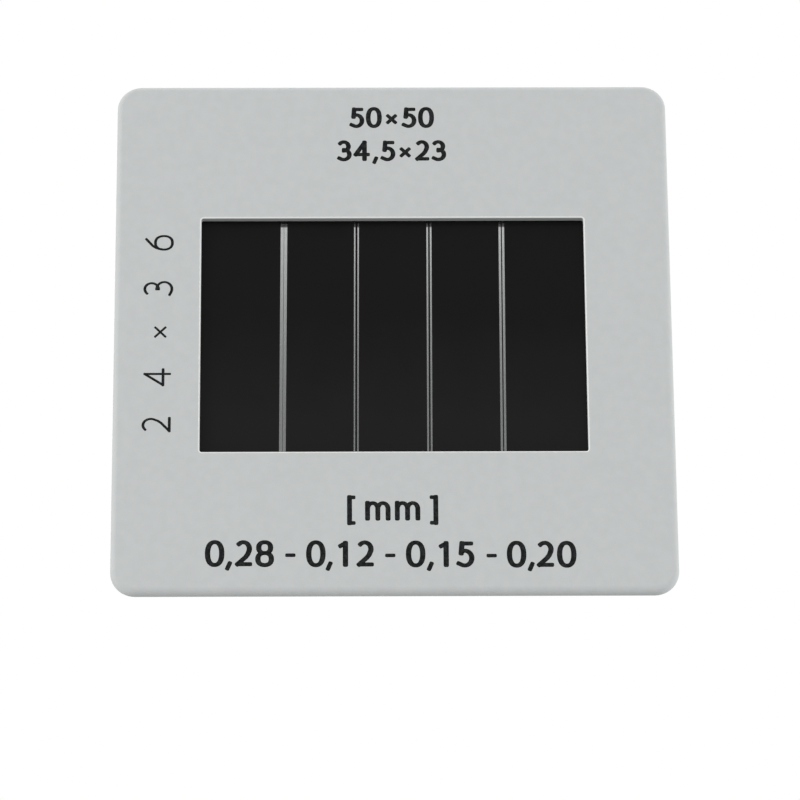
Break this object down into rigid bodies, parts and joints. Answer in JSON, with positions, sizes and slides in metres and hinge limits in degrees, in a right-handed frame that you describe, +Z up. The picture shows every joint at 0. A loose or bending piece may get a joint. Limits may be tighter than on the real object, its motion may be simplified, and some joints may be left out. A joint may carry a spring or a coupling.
{
  "type": "double-slit slide",
  "caption": "Square plastic slide mount holding a black film with pairs of fine clear slits of different widths, for interference and diffraction experiments on an optical bench.",
  "frame": {"origin": "centre of the bottom edge, in the middle of the slide's thickness", "axes": "+Z up along the slits, +X to the right as seen from the printed front, which faces -Y"},
  "size_m": [0.05, 0.0014, 0.05],
  "materials": {
    "front_frame": "light grey moulded plastic, fine matt",
    "rear_frame": "light grey moulded plastic, fine matt",
    "slit_layer": "black, smooth gloss",
    "film_base": "clear polyester sheet",
    "print_ink": "black ink printed on the front face"
  },
  "bodies": {
    "root": {"front_frame": "front_frame", "rear_frame": "rear_frame", "slit_layer": "slit_layer", "film_base": "film_base"}
  },
  "joints": []
}
